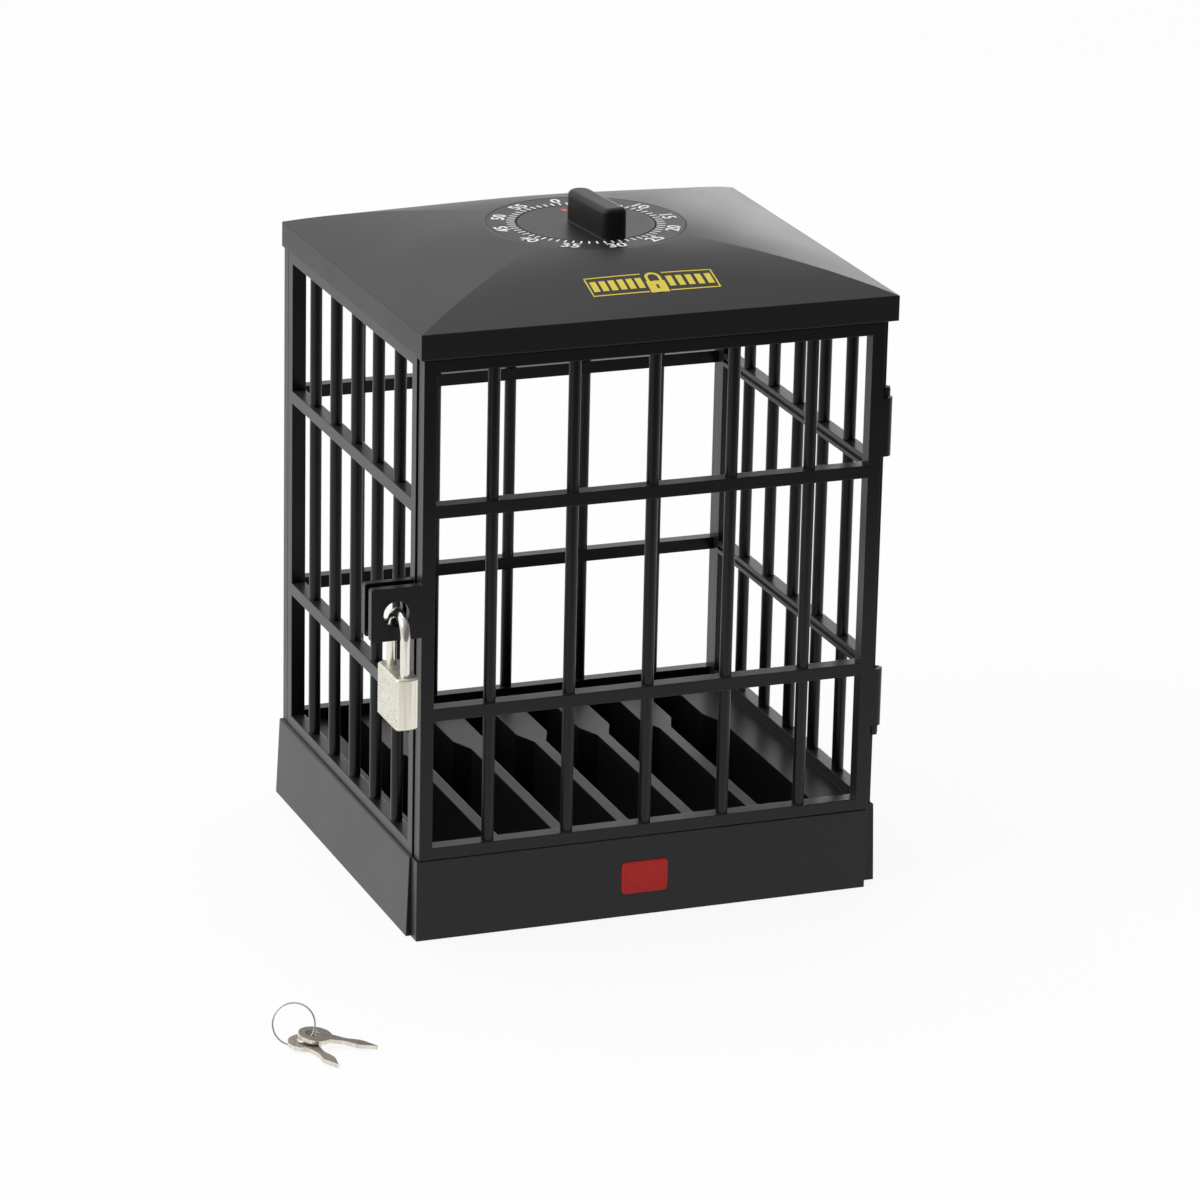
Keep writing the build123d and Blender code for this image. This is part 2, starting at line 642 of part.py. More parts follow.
# Timer movement
def second_arbor():
    return polar(SECOND_DISTANCE, SECOND_ANGLE)


def escape_arbor():
    """The escape wheel stands at a pinion's distance from the second arbor."""
    bearing = ESCAPE_ANGLE - SECOND_ANGLE
    along = SECOND_DISTANCE * math.cos(math.radians(bearing))
    across = SECOND_DISTANCE * math.sin(math.radians(bearing))
    radius = along + math.sqrt(ESCAPE_DISTANCE ** 2 - across ** 2)
    return polar(radius, ESCAPE_ANGLE)


def anchor_arbor():
    x, y = escape_arbor()
    dx, dy = polar(ANCHOR_PIVOT, ESCAPE_ANGLE + 90)
    return x + dx, y + dy


def bearing_from(start, end):
    return math.degrees(math.atan2(end[1] - start[1], end[0] - start[0]))


def involute(angle):
    return math.tan(angle) - angle


def gear_plan(teeth):
    """Involute outline: each flank has a root, a pitch and a tip point; one tooth points along +X."""
    pitch = MODULE * teeth / 2
    pressure = math.radians(PRESSURE_ANGLE)
    base = pitch * math.cos(pressure)
    half_tooth = (math.pi * MODULE / 2 - BACKLASH) / (2 * pitch)
    root = pitch - DEDENDUM * MODULE
    tip = pitch + ADDENDUM * MODULE
    flank = []
    for radius in (root, max(root, base), pitch, tip):
        lean = math.acos(min(1, base / max(radius, base)))
        flank.append((radius, half_tooth + involute(pressure) - involute(lean)))
    if flank[1][0] - flank[0][0] < MODULE / 100:
        flank = flank[1:]
    points = []
    for i in range(teeth):
        centre = 2 * math.pi * i / teeth
        rising = [(r, centre - a) for r, a in flank]
        falling = [(r, centre + a) for r, a in reversed(flank)]
        points += [(r * math.cos(a), r * math.sin(a)) for r, a in rising + falling]
    return make_face(Polyline(*points, close=True))


def placed_gear(teeth, thickness, centre, foot, turn, bore):
    plan = gear_plan(teeth) - Circle(bore)
    return Pos(centre[0], centre[1], foot) * Rot(0, 0, turn) * extrude(plan, thickness)


def train_arbor(centre):
    x, y = centre
    return rod(x, y, BOTTOM_PLATE_FOOT, TOP_PLATE_FOOT + PLATE_THICKNESS, TRAIN_ARBOR_RADIUS)


def main_wheel():
    foot = BOTTOM_PLATE_TOP + MAIN_WHEEL_FOOT
    return placed_gear(MAIN_TEETH, WHEEL_THICKNESS, (0, 0), foot, SECOND_ANGLE, ARBOR_RADIUS + PRESS_FIT)


def second_wheel():
    """A pinion driven by the main wheel, with the wheel below it that drives the escape pinion."""
    centre = second_arbor()
    wheel_foot = BOTTOM_PLATE_TOP + SECOND_WHEEL_FOOT
    pinion_foot = wheel_foot + THIN_WHEEL
    pinion_turn = SECOND_ANGLE + 180 + 180 / SECOND_PINION_TEETH
    wheel_turn = bearing_from(centre, escape_arbor())
    solid = train_arbor(centre)
    bore = TRAIN_ARBOR_RADIUS / 2
    solid += placed_gear(SECOND_PINION_TEETH, PINION_LENGTH, centre, pinion_foot, pinion_turn, bore)
    solid += placed_gear(SECOND_TEETH, THIN_WHEEL, centre, wheel_foot, wheel_turn, bore)
    return solid


def escape_wheel():
    centre = escape_arbor()
    pinion_foot = BOTTOM_PLATE_TOP + SECOND_WHEEL_FOOT + THIN_WHEEL / 2 - PINION_LENGTH / 2
    pinion_turn = bearing_from(second_arbor(), centre) + 180 + 180 / ESCAPE_PINION_TEETH
    points = []
    for i in range(ESCAPE_TEETH):
        step = 360 / ESCAPE_TEETH
        points.append(polar(ESCAPE_RADIUS, i * step))
        points.append(polar(ESCAPE_RADIUS - ESCAPE_TOOTH_DEPTH, i * step + step / 4))
        points.append(polar(ESCAPE_RADIUS - ESCAPE_TOOTH_DEPTH, i * step + step * 3 / 4))
    plan = make_face(Polyline(*points, close=True))
    solid = train_arbor(centre)
    solid += Pos(centre[0], centre[1], BOTTOM_PLATE_TOP + ESCAPE_WHEEL_FOOT) * extrude(plan, THIN_WHEEL)
    bore = TRAIN_ARBOR_RADIUS / 2
    solid += placed_gear(ESCAPE_PINION_TEETH, PINION_LENGTH, centre, pinion_foot, pinion_turn, bore)
    return solid


def escape_anchor():
    """A curved anchor that straddles the escape wheel from one side, on its own arbor."""
    wheel = escape_arbor()
    pivot = anchor_arbor()
    inner = ESCAPE_RADIUS + ANCHOR_GAP
    band = Circle(inner + ANCHOR_BAND) - Circle(inner)
    facing = bearing_from(wheel, pivot)
    reach = 3 * inner
    left = polar(reach, facing + ANCHOR_SPAN / 2)
    right = polar(reach, facing - ANCHOR_SPAN / 2)
    band &= make_face(Polyline((0, 0), right, polar(2 * reach, facing), left, close=True))
    hub = (pivot[0] - wheel[0], pivot[1] - wheel[1])
    plan = band + Pos(*hub) * Circle(ANCHOR_BAND + TRAIN_ARBOR_RADIUS)
    plan -= Circle(inner)
    lever = Pos(wheel[0], wheel[1], BOTTOM_PLATE_TOP + ESCAPE_WHEEL_FOOT) * extrude(plan, THIN_WHEEL)
    return lever + train_arbor(pivot)


def mainspring():
    """A flat spiral strip of half circles, its outer end beside the post on the bottom plate."""
    inner_end = (SPRING_INNER, 0)
    outer_end = (SPRING_INNER + SPRING_PITCH * SPRING_TURNS, 0)
    edges = [Line(end, (end[0] + SPRING_STRIP, 0)) for end in (inner_end, outer_end)]
    for i in range(2 * SPRING_TURNS):
        odd = i % 2
        centre = (odd * SPRING_PITCH / 2, 0)
        radius = SPRING_INNER + i * SPRING_PITCH / 2
        for edge in (radius, radius + SPRING_STRIP):
            edges.append(CenterArc(centre, edge, 180 * odd, 180))
    return Pos(0, 0, BOTTOM_PLATE_TOP + SPRING_FOOT) * extrude(make_face(edges), SPRING_HEIGHT)


def spring_post_place():
    outer = SPRING_INNER + SPRING_PITCH * SPRING_TURNS + SPRING_STRIP
    return outer + SPRING_POST_RADIUS + RUNNING_FIT, 0


def pierced_plate(foot):
    plate = Pos(0, 0, foot) * extrude(Circle(PLATE_RADIUS), PLATE_THICKNESS)
    top = foot + PLATE_THICKNESS
    plate -= rod(0, 0, foot, top, ARBOR_RADIUS + RUNNING_FIT)
    for x, y in (second_arbor(), escape_arbor(), anchor_arbor()):
        plate -= rod(x, y, foot, top, TRAIN_ARBOR_RADIUS + RUNNING_FIT)
    for x, y in pillar_places():
        plate -= rod(x, y, foot, top, SCREW_RADIUS + SCREW_FIT)
    return plate


def movement_bottom_plate():
    plate = pierced_plate(BOTTOM_PLATE_FOOT)
    x, y = spring_post_place()
    plate += rod(x, y, BOTTOM_PLATE_FOOT, BOTTOM_PLATE_TOP + SPRING_FOOT + SPRING_HEIGHT, SPRING_POST_RADIUS)
    pin_top = BOTTOM_PLATE_TOP + PILLAR_HEIGHT / 2
    plate += rod(HAMMER_PIVOT_X, HAMMER_PIVOT_Y, BOTTOM_PLATE_FOOT, pin_top, HAMMER_PIN_RADIUS)
    return plate


def movement_top_plate():
    return pierced_plate(TOP_PLATE_FOOT)


def movement_pillars():
    sleeves = []
    for x, y in pillar_places():
        sleeve = rod(x, y, BOTTOM_PLATE_TOP, TOP_PLATE_FOOT, PILLAR_RADIUS)
        sleeves.append(sleeve - rod(x, y, BOTTOM_PLATE_TOP, TOP_PLATE_FOOT, SCREW_RADIUS + SCREW_FIT))
    return Compound(children=sleeves)


def movement_screw_tip():
    return DIAL_TOP - DIAL_THICKNESS - SCREW_RADIUS


def movement_screws():
    length = movement_screw_tip() - BOTTOM_PLATE_FOOT
    return Compound(children=[screw(x, y, BOTTOM_PLATE_FOOT, length) for x, y in pillar_places()])


# Bell and hammer
def cup_profile(radius, height):
    """Half section of a cup turned over, with a sloped shoulder."""
    return make_face(Polyline(
        (0, 0),
        (radius, 0),
        (radius, height - BELL_SHOULDER_HEIGHT),
        (radius - BELL_SHOULDER_WIDTH, height),
        (0, height),
        close=True,
    ))


def bell():
    """A shallow cup, open below, clamped on the ceiling plate's post."""
    outer = revolve(Plane.XZ * cup_profile(BELL_RADIUS, BELL_HEIGHT), Axis.Z)
    inner = revolve(Plane.XZ * cup_profile(BELL_RADIUS - BELL_WALL, BELL_HEIGHT - BELL_WALL), Axis.Z)
    cup = outer - inner - rod(0, 0, 0, BELL_HEIGHT, SCREW_RADIUS + SCREW_FIT)
    return Pos(BELL_X, 0, CEILING_TOP + BELL_CLEARANCE) * cup


def bell_screw():
    top = CEILING_TOP + BELL_CLEARANCE + BELL_HEIGHT
    return screw(BELL_X, 0, top, BELL_HEIGHT, up=False)


def bell_hammer():
    """An arm on the bottom plate's pin, with a round head that swings to the bell's rim."""
    foot = BOTTOM_PLATE_TOP + HAMMER_LIFT
    arm = Pos(HAMMER_ARM_LENGTH / 2, 0) * Rectangle(HAMMER_ARM_LENGTH, HAMMER_ARM_WIDTH)
    plan = arm + Circle(HAMMER_ARM_WIDTH) - Circle(HAMMER_PIN_RADIUS + RUNNING_FIT)
    plan += Pos(HAMMER_ARM_LENGTH, 0) * Circle(HAMMER_HEAD_RADIUS)
    lever = extrude(plan, WHEEL_THICKNESS)
    return Pos(HAMMER_PIVOT_X, HAMMER_PIVOT_Y, foot) * Rot(0, 0, HAMMER_ANGLE) * lever


# Padlock, closed on the door's ear with its rear leg between the two ears
REAR_LEG_Y = FRONT_Y + DOOR_EAR_THICKNESS + EAR_GAP / 2
FRONT_LEG_Y = REAR_LEG_Y - LEG_SPACING
LOCK_Y = (REAR_LEG_Y + FRONT_LEG_Y) / 2
CROWN_CENTRE_RADIUS = LEG_SPACING / 2


def crown_height():
    """The crown's centre, set so that the wire lies just over the ear's hole."""
    inner = CROWN_CENTRE_RADIUS - WIRE_RADIUS
    depth = FRONT_Y + DOOR_EAR_THICKNESS - LOCK_Y
    rise = math.sqrt(inner ** 2 - depth ** 2)
    return HASP_Z - HASP_HOLE_RADIUS + CROWN_SEAT - rise


LOCK_TOP = crown_height() - LEG_LENGTH
LOCK_FOOT = LOCK_TOP - LOCK_HEIGHT
LATCH_FOOT = LOCK_TOP - LATCH_DROP
LATCH_FRONT = FRONT_LEG_Y + WIRE_RADIUS - LATCH_BITE


def padlock_shackle():
    crown = crown_height()
    front_foot = LOCK_TOP - SHORT_LEG
    rear_foot = LOCK_TOP - LONG_LEG
    path = Line((HASP_X, FRONT_LEG_Y, front_foot), (HASP_X, FRONT_LEG_Y, crown))
    top = (HASP_X, LOCK_Y, crown + CROWN_CENTRE_RADIUS)
    path += ThreePointArc((HASP_X, FRONT_LEG_Y, crown), top, (HASP_X, REAR_LEG_Y, crown))
    path += Line((HASP_X, REAR_LEG_Y, crown), (HASP_X, REAR_LEG_Y, rear_foot))
    section = Plane((HASP_X, FRONT_LEG_Y, front_foot), z_dir=(0, 0, 1)) * Circle(WIRE_RADIUS)
    wire = sweep(section, path=path)
    return wire - latch_notch()


def latch_notch():
    """The notch's lower face slopes as the latch leaves while the body drops."""
    deep = LATCH_FRONT - LATCH_GAP
    mouth = FRONT_LEG_Y + 2 * WIRE_RADIUS
    top = LATCH_FOOT + LATCH_HEIGHT + LATCH_GAP
    bottom = LATCH_FOOT - LATCH_GAP
    fall = (mouth - deep) * RELEASE_TRAVEL / LATCH_TRAVEL
    side = make_face(Polyline((deep, bottom), (mouth, bottom - fall), (mouth, top), (deep, top), close=True))
    return Pos(HASP_X, 0, 0) * extrude(Plane.YZ * side, WIRE_RADIUS, both=True)


def latch_pocket():
    half = LATCH_WIDTH / 2 + LEG_FIT
    back = LATCH_FRONT + LATCH_LENGTH + LATCH_TRAVEL + FIT
    low = LATCH_FOOT - LEG_FIT
    return block(HASP_X - half, HASP_X + half, FRONT_LEG_Y, back, low, LATCH_FOOT + LATCH_HEIGHT + LEG_FIT)


def padlock_body():
    """A slab with bowed narrow sides and rounded corners, bored for the legs, the plug and the latch."""
    half = LOCK_WIDTH / 2
    side = LOCK_THICKNESS / 2
    outline = Line((-side, -half), (-side, half))
    outline += ThreePointArc((-side, half), (0, half + LOCK_BULGE), (side, half))
    outline += Line((side, half), (side, -half))
    outline += ThreePointArc((side, -half), (0, -half - LOCK_BULGE), (-side, -half))
    plan = make_face(outline)
    slab = extrude(fillet(plan.vertices(), LOCK_CORNER), LOCK_HEIGHT)
    ends = slab.faces().sort_by(Axis.Z)
    slab = chamfer(ends[0].edges() + ends[-1].edges(), LOCK_EDGE)
    slab = Pos(HASP_X, LOCK_Y, LOCK_FOOT) * slab
    bore = WIRE_RADIUS + LEG_FIT
    slab -= rod(HASP_X, FRONT_LEG_Y, LOCK_TOP - SHORT_LEG - LEG_END_GAP, LOCK_TOP, bore)
    slab -= rod(HASP_X, REAR_LEG_Y, LOCK_TOP - LONG_LEG - LEG_END_GAP, LOCK_TOP, bore)
    slab -= rod(HASP_X, LOCK_Y, LOCK_FOOT, LOCK_FOOT + PLUG_HEIGHT + RUNNING_FIT, PLUG_RADIUS + RUNNING_FIT)
    return slab - latch_pocket()


def padlock_plug():
    plug = rod(HASP_X, LOCK_Y, LOCK_FOOT, LOCK_FOOT + PLUG_HEIGHT, PLUG_RADIUS)
    keyway = Box(KEYWAY_WIDTH, KEYWAY_LENGTH, PLUG_HEIGHT)
    return plug - Pos(HASP_X, LOCK_Y, LOCK_FOOT) * keyway


def padlock_latch():
    half = LATCH_WIDTH / 2
    top = LATCH_FOOT + LATCH_HEIGHT
    return block(HASP_X - half, HASP_X + half, LATCH_FRONT, LATCH_FRONT + LATCH_LENGTH, LATCH_FOOT, top)


# Keys on their ring, lying in front of the box
RING_Z = RING_RADIUS * math.cos(math.radians(RING_LEAN)) + RING_WIRE


def ring_point(z, slip):
    """Where the ring's right half passes level z, moved by the slip towards the ring's middle."""
    drop = (RING_Z - z) / math.cos(math.radians(RING_LEAN))
    across = math.sqrt(RING_RADIUS ** 2 - drop ** 2) - slip
    forward = drop * math.sin(math.radians(RING_LEAN))
    right_x, right_y = polar(1, RING_TURN)
    return RING_X + across * right_x + forward * right_y, RING_Y + across * right_y - forward * right_x


def key_ring():
    upright = Rot(0, 0, RING_TURN) * Rot(90 - RING_LEAN, 0, 0)
    return Pos(RING_X, RING_Y, RING_Z) * upright * Torus(RING_RADIUS, RING_WIRE)


def key(foot, turn, slip=0.0):
    """A flat key with a round head and a blade cut in waves on both edges."""
    half = KEY_BLADE_WIDTH / 2
    start = KEY_HEAD_RADIUS - KEY_HOLE_INSET
    tip = start + KEY_BLADE_LENGTH
    step = KEY_BLADE_LENGTH / 5
    upper = [
        (start, half),
        (start + step, half),
        (start + 2 * step, half - KEY_BITE),
        (start + 3 * step, half),
        (start + 4 * step, half - KEY_BITE),
    ]
    lower = [(x, -y) for x, y in reversed(upper)]
    blade = make_face(Spline(*upper) + Polyline(upper[-1], (tip, 0), lower[0]) + Spline(*lower)
                      + Line(lower[-1], upper[0]))
    shank = Pos(start / 2, 0) * Rectangle(start + KEY_BITE, KEY_BLADE_WIDTH)
    head = Pos(-KEY_HOLE_INSET + KEY_HEAD_RADIUS / 2, 0) * Circle(KEY_HEAD_RADIUS)
    plan = head + shank + blade - Circle(KEY_HOLE_RADIUS)
    x, y = ring_point(foot + KEY_THICKNESS / 2, slip)
    tilt = math.degrees(math.asin(foot / tip))
    return Pos(x, y, foot) * Rot(0, 0, turn) * Rot(0, tilt, 0) * extrude(plan, KEY_THICKNESS)


def first_key():
    return key(KEY_LIFT + KEY_THICKNESS + KEY_STACK_GAP, FIRST_KEY_TURN)


def second_key():
    return key(KEY_LIFT, SECOND_KEY_TURN, SECOND_KEY_SLIP)


PIECES = {
    "base_surround": base_surround,
    "base_front_plate": base_front_plate,
    "phone_tray": phone_tray,
    "base_screws": base_screws,
    "left_panel": left_panel,
    "right_panel": right_panel,
    "back_panel": back_panel,
    "door": door,
    "roof_shell": roof_shell,
    "ceiling_plate": ceiling_plate,
    "roof_screws": roof_screws,
    "dial_ring": dial_ring,
    "timer_knob": timer_knob,
    "timer_arbor": timer_arbor,
    "main_wheel": main_wheel,
    "second_wheel": second_wheel,
    "escape_wheel": escape_wheel,
    "escape_anchor": escape_anchor,
    "mainspring": mainspring,
    "movement_top_plate": movement_top_plate,
    "movement_bottom_plate": movement_bottom_plate,
    "movement_pillars": movement_pillars,
    "movement_screws": movement_screws,
    "bell": bell,
    "bell_screw": bell_screw,
    "bell_hammer": bell_hammer,
    "padlock_body": padlock_body,
    "padlock_shackle": padlock_shackle,
    "padlock_plug": padlock_plug,
    "padlock_latch": padlock_latch,
    "first_key": first_key,
    "second_key": second_key,
    "key_ring": key_ring,
}


os.makedirs("parts", exist_ok=True)
for name, make in PIECES.items():
    export_step(make(), f"parts/{name}.step")
for level, name in zip(hinge_levels(), ("hinge_pin_upper", "hinge_pin_lower")):
    export_step(hinge_pin(*level), f"parts/{name}.step")
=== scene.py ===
import json
import math

import bmesh
import bpy
from mathutils import Matrix, Vector
from mathutils.bvhtree import BVHTree

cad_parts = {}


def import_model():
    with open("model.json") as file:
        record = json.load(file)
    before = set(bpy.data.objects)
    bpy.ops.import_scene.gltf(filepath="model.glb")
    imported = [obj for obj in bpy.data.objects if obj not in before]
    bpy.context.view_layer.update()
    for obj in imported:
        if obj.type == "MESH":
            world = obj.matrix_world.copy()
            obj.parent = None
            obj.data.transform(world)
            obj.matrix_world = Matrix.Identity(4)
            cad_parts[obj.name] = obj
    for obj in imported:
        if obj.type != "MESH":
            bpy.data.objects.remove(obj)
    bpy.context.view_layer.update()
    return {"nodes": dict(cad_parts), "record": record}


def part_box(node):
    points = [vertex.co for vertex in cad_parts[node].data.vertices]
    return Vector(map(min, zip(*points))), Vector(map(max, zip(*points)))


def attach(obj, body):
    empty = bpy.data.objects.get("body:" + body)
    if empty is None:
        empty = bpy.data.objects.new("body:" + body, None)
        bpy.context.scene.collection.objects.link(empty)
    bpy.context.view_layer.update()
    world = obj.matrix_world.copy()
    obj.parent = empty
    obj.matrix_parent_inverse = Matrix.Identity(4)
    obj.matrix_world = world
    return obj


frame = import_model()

# Looks for the phone lock box: materials, printed marks, a plate, light and camera.
# Sizes are in metres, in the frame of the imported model.
MM = 0.001
WHITE = (1, 1, 1, 1)

# Camera, as the photograph was taken
CAMERA_PLACE = Vector((-586.47, -1537.11, 637.48)) * MM
CAMERA_AZIMUTH = -21.12
CAMERA_ELEVATION = 18.75
CAMERA_ROLL = 1.255
CAMERA_LENS = 168.75
SENSOR_WIDTH = 36.0

# Floor
FLOOR_HALF = 6.0
FLOOR_FRONT = -0.36
FLOOR_DROP = 0.2 * MM
FLOOR_CELLS = 8
FLOOR_COLOUR = (0.92, 0.92, 0.92, 1)
FLOOR_WHITE_SHARE = 0.9

# World: the fill grows from dark to bright as a direction comes nearer to the bright side
BRIGHT_SIDE = (-0.45, 0.75, 0.48)
BRIGHT_FILL = 1.1
DARK_FILL = 0.18
DARK_LIKENESS = -0.4
BRIGHT_LIKENESS = 0.9

# Lamps: round soft boxes, with their power in watts
LAMP_AIM = (0, 0, 0.1)
LAMPS = {
    "left_softbox": {"place": (-1.5, -0.2, 1.4), "size": 1.2, "power": 11},
    "back_softbox": {"place": (1.05, 2.0, 0.32), "size": 0.5, "power": 1.65},
    "top_softbox": {"place": (0.15, 0.35, 1.7), "size": 1.0, "power": 5},
}

# Printed dial
NUMBER_STEP = 5
MINUTES = 60
NUMBER_RADIUS = 26.7 * MM
NUMBER_HEIGHT = 4.3 * MM
NUMBER_WIDEN = 1.05
NUMBER_BOLD = 0.015
NUMBER_CURVE_STEPS = 4
FIRST_FLIPPED = 20
LAST_FLIPPED = 40
TICK_INNER = 21.6 * MM
TICK_OUTER = 24.1 * MM
TICK_WIDTH = 0.55 * MM
TICK_CORNER = TICK_WIDTH / 4
TICK_CORNER_STEPS = 2
PRINT_LIFT = 0.06 * MM
MERGE_DISTANCE = 0.001 * MM

# Pointer mark on the knob, on the side away from the grip
POINTER_ANGLE = 94.0
POINTER_INNER = 14.2 * MM
POINTER_OUTER = 17.2 * MM
POINTER_WIDTH = 1.8 * MM
POINTER_CORNER = POINTER_WIDTH / 4
POINTER_CORNER_STEPS = 3

# Yellow sign on the front slope of the roof, in plan
SIGN_MIDDLE_X = 1.55 * MM
SIGN_MIDDLE_Y = -51.75 * MM
SIGN_WIDTH = 40.3 * MM
SIGN_DEPTH = 9.1 * MM
SIGN_LINE = 0.45 * MM
SIGN_BAR_WIDTH = 1.9 * MM
SIGN_BAR_DEPTH = 4.9 * MM
LEFT_BAR_COUNT = 6
LEFT_BARS_START = -19.0 * MM
LEFT_BARS_END = -2.9 * MM
RIGHT_BAR_COUNT = 5
RIGHT_BARS_START = 4.9 * MM
RIGHT_BARS_END = 19.0 * MM
SIGN_STEP = 1.5 * MM
ABOVE_ROOF = 1.0 * MM

# Plain padlock symbol in the middle of the sign
SYMBOL_X = 1.0 * MM
SYMBOL_WIDTH = 5.8 * MM
SYMBOL_FOOT = -4.9 * MM
SYMBOL_HEAD = 0.4 * MM
KEYHOLE_WIDTH = 0.8 * MM
KEYHOLE_DEPTH = 2.0 * MM
BOW_RADIUS = 2.0 * MM
BOW_LINE = 0.9 * MM
BOW_LEG = 1.9 * MM
BOW_STEPS = 14

# Red plate on the front of the base
PLATE_MIDDLE_X = -1.8 * MM
PLATE_MIDDLE_Z = 12.3 * MM
PLATE_WIDTH = 14.9 * MM
PLATE_HEIGHT = 10.2 * MM
PLATE_CORNER = 1.5 * MM
PLATE_CORNER_STEPS = 8
PLATE_THICKNESS = 0.5 * MM
PLATE_EDGE = 0.25 * MM

# Noise textures: the usual detail, and the band in which most of their values lie
NOISE_DETAIL = 3
NOISE_LOW = 0.3
NOISE_HIGH = 0.7

# Worn edges: the likeness of the rounded normal to the face's own, where worn and where plain
EDGE_SAMPLES = 6
WORN_LIKENESS = 0.8
PLAIN_LIKENESS = 0.985

# Moulded plastic
PLASTIC_EDGE = 0.35 * MM
PATCH_SCALE = 40
PATCH_DARK = 0.8
PATCH_PALE = 1.2
SCUFF_SCALE = 420
SCUFF_DETAIL = 5
SCUFF_PALE = 3.5
PLASTIC_UNEVENNESS = 0.02
PLASTIC_GRAIN = 2200
PLASTIC_GRAIN_DETAIL = 2
PLASTIC_BUMP = 0.22
PLASTIC_BUMP_DEPTH = 0.05 * MM
BLOOM_ROUGHNESS = 0.3

# Plated metal
PLATED_EDGE = 0.3 * MM
PLATED_EDGE_PALE = 1.12
DRAWN_GRAIN = 2600
DULL_SCALE = 900
DULL_DETAIL = 6
DULL_START = 0.5
DULL_END = 0.75
PLATED_UNEVENNESS = 0.07
PLATED_BUMP = 0.25
PLATED_BUMP_DEPTH = 0.03 * MM

# Metal with two finishes; on the keys the paler sides are a painted highlight
FACING_START = 0.55
FACING_END = 0.8
GRIT_DETAIL = 4
SPECK_START = 0.48
SPECK_END = 0.62
BRUSH_STRETCH = (1, 1, 0.02)
BRUSH_SCALE = 1200
BRUSH_DETAIL = 4
BRUSH_START = 0.4
BRUSH_END = 0.62
SIDE_EDGE_PALE = 1.15
BLASTED_ROUGHNESS = 0.46
BRUSHED_ROUGHNESS = 0.28
GRIT_BUMP = 0.4
GRIT_BUMP_DEPTH = 0.04 * MM

# Printed ink
COVER_SCALE = 1400
COVER_DETAIL = 4
THIN_START = 0.55
THIN_END = 0.8
INK_SMOOTH = 0.42
INK_ROUGH = 0.58
INK_BUMP = 0.15
INK_BUMP_DEPTH = 0.02 * MM

# Enamel
ENAMEL_EDGE = 0.4 * MM
ENAMEL_EDGE_PALE = 1.35
ENAMEL_EDGE_LIFT = 0.02
CLOUD_SCALE = 300
CLOUD_DETAIL = 4
ENAMEL_SMOOTH = 0.3
ENAMEL_ROUGH = 0.42
ENAMEL_IOR = 1.38
PEEL_SCALE = 1100
PEEL_DETAIL = 2
PEEL_BUMP = 0.08
PEEL_BUMP_DEPTH = 0.03 * MM


# Small helpers for shader trees
def start_material(name):
    material = bpy.data.materials.new(name)
    material.use_nodes = True
    tree = material.node_tree
    return material, tree, tree.nodes["Principled BSDF"]


def node(tree, kind, inputs=None, **settings):
    made = tree.nodes.new(kind)
    for key, value in settings.items():
        setattr(made, key, value)
    for key, value in (inputs or {}).items():
        if isinstance(value, bpy.types.NodeSocket):
            tree.links.new(value, made.inputs[key])
        else:
            made.inputs[key].default_value = value
    return made


def calculate(tree, operation, *values):
    return node(tree, "ShaderNodeMath", dict(enumerate(values)), operation=operation).outputs[0]


def likeness(tree, first, second):
    """The dot product of two directions."""
    made = node(tree, "ShaderNodeVectorMath", {0: first, 1: second}, operation="DOT_PRODUCT")
    return made.outputs["Value"]


def object_place(tree):
    return node(tree, "ShaderNodeTexCoord").outputs["Object"]


def stretched(tree, place, stretch):
    return node(tree, "ShaderNodeMapping", {"Vector": place, "Scale": stretch}).outputs["Vector"]


def noise(tree, place, scale, detail=NOISE_DETAIL):
    made = node(tree, "ShaderNodeTexNoise", {"Vector": place, "Scale": scale, "Detail": detail})
    return made.outputs["Fac"]


def spread(tree, value, low, high, start=NOISE_LOW, end=NOISE_HIGH):
    """Maps a value from start..end onto low..high."""
    limits = {"Value": value, "From Min": start, "From Max": end, "To Min": low, "To Max": high}
    return node(tree, "ShaderNodeMapRange", limits).outputs["Result"]


def blend_colours(tree, factor, first, second):
    made = node(tree, "ShaderNodeMix", data_type="RGBA")
    tree.links.new(factor, made.inputs["Factor"])
    for key, value in (("A", first), ("B", second)):
        socket = [s for s in made.inputs if s.name == key and s.type == "RGBA"][0]
        if isinstance(value, bpy.types.NodeSocket):
            tree.links.new(value, socket)
        else:
            socket.default_value = value
    return [s for s in made.outputs if s.type == "RGBA"][0]


def add_bump(tree, shader, strength, depth, height, normal=None):
    inputs = {"Strength": strength, "Distance": depth, "Height": height}
    if normal is not None:
        inputs["Normal"] = normal
    bump = node(tree, "ShaderNodeBump", inputs)
    tree.links.new(bump.outputs["Normal"], shader.inputs["Normal"])


def soft_edges(tree, radius):
    """A rounded-edge normal and a mask that is 1 on worn edges."""
    rounded = node(tree, "ShaderNodeBevel", {"Radius": radius}, samples=EDGE_SAMPLES).outputs[0]
    face = node(tree, "ShaderNodeNewGeometry").outputs["True Normal"]
    same = likeness(tree, rounded, face)
    return rounded, spread(tree, same, 1.0, 0.0, WORN_LIKENESS, PLAIN_LIKENESS)


def axis_facing(tree, normal, axis):
    """1 where the surface faces along this axis of the piece, 0 where it faces across it."""
    part = node(tree, "ShaderNodeSeparateXYZ", {0: normal}).outputs[axis]
    return spread(tree, calculate(tree, "ABSOLUTE", part), 0.0, 1.0, FACING_START, FACING_END)


def grey(level):
    return (level, level, level, 1)


def opaque(colour, times=1.0, lift=0.0):
    """This colour made paler by a factor and a lift, no brighter than white."""
    return (*(min(1.0, c * times + lift) for c in colour), 1)


